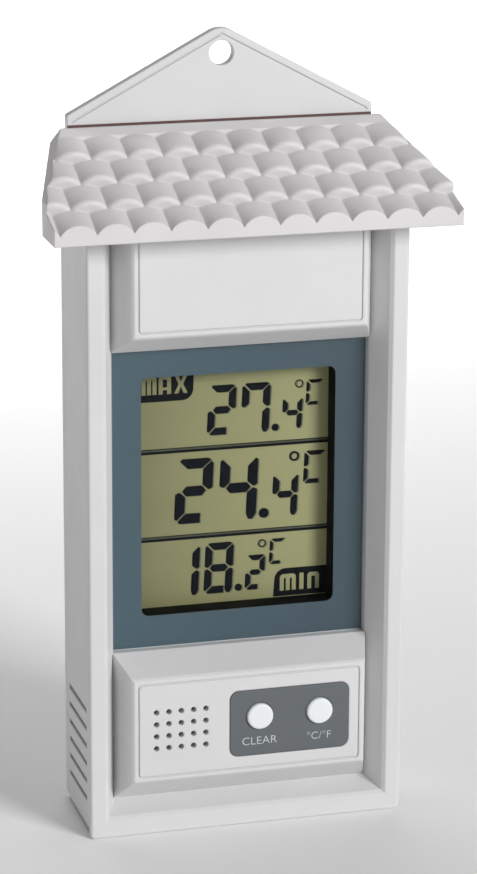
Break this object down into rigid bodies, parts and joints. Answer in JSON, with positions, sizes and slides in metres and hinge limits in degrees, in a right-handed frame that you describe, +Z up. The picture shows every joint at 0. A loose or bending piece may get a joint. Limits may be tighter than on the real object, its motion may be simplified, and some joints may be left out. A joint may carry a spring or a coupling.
{
  "type": "maximum minimum thermometer",
  "caption": "Wall-hung digital thermometer for a greenhouse, with a tiled rain roof, three-row display, air grille, side slots and push buttons.",
  "frame": {"origin": "centre of the hanging hole, on the back face that lies against the wall", "axes": "+Z up, +Y towards the wall (the display faces -Y), +X to the viewer's right"},
  "size_m": [0.0764, 0.0304, 0.15],
  "materials": {
    "housing_plastic": "fine satin moulded ABS, light grey-white",
    "cover_plastic": "fine satin moulded ABS, light grey-white",
    "roof_plastic": "fine satin moulded ABS, light grey-white",
    "door_plastic": "fine satin moulded ABS, light grey-white",
    "window_clear": "clear acrylic sheet",
    "window_print": "slate blue print behind the clear sheet",
    "bezel_black": "black moulded plastic",
    "display_glass": "liquid crystal glass plates",
    "polariser_film": "olive polarising film",
    "reflector_film": "grey-green reflective polarising film",
    "connector_rubber": "striped conductive silicone rubber",
    "board_green": "green solder mask on glass-fibre board",
    "resin_black": "black epoxy resin",
    "crystal_can": "nickel-plated can",
    "chip_body": "ceramic chip parts",
    "thermistor_resin": "black epoxy bead with tinned leads",
    "label_grey": "dark grey printed film",
    "button_white": "white moulded plastic",
    "switch_case": "black switch case",
    "switch_plunger": "red-brown switch plunger",
    "cell_jacket": "plain printed steel jacket",
    "contact_steel": "nickel-plated spring steel",
    "lead_red": "red PVC insulation",
    "lead_black": "black PVC insulation",
    "screw_steel": "zinc-plated steel"
  },
  "bodies": {
    "case": {"front_housing": "housing_plastic", "rear_cover": "cover_plastic", "roof_shell": "roof_plastic", "display_window": "window_clear", "window_border": "window_print", "display_bezel": "bezel_black", "display_glass": "display_glass", "front_polariser": "polariser_film", "rear_reflector": "reflector_film", "connector_strip_lower": "connector_rubber", "connector_strip_upper": "connector_rubber", "circuit_board": "board_green", "chip_drop": "resin_black", "quartz_crystal": "crystal_can", "board_chips": "chip_body", "thermistor": "thermistor_resin", "control_label": "label_grey", "clear_switch": "switch_case", "unit_switch": "switch_case", "battery_cell": "cell_jacket", "contact_positive": "contact_steel", "contact_negative": "contact_steel", "lead_positive": "lead_red", "lead_negative": "lead_black", "cover_screws": "screw_steel", "roof_screws": "screw_steel", "board_screws": "screw_steel"},
    "clear_key": {"clear_button": "button_white", "clear_switch_plunger": "switch_plunger"},
    "unit_key": {"unit_button": "button_white", "unit_switch_plunger": "switch_plunger"},
    "door": {"battery_door": "door_plastic"}
  },
  "joints": [
    {"name": "clear_press", "type": "slide", "parent": "case", "child": "clear_key", "axis": [0, 1, 0], "range_m": [0, 0.0005], "stiffness_N_per_m": 900, "springref_m": -0.001},
    {"name": "unit_press", "type": "slide", "parent": "case", "child": "unit_key", "axis": [0, 1, 0], "range_m": [0, 0.0005], "stiffness_N_per_m": 900, "springref_m": -0.001},
    {"name": "battery_door_hinge", "type": "hinge", "parent": "case", "child": "door", "pos_m": [0, -0.001, -0.0468], "axis": [-1, 0, 0], "range_deg": [0, 100]}
  ]
}
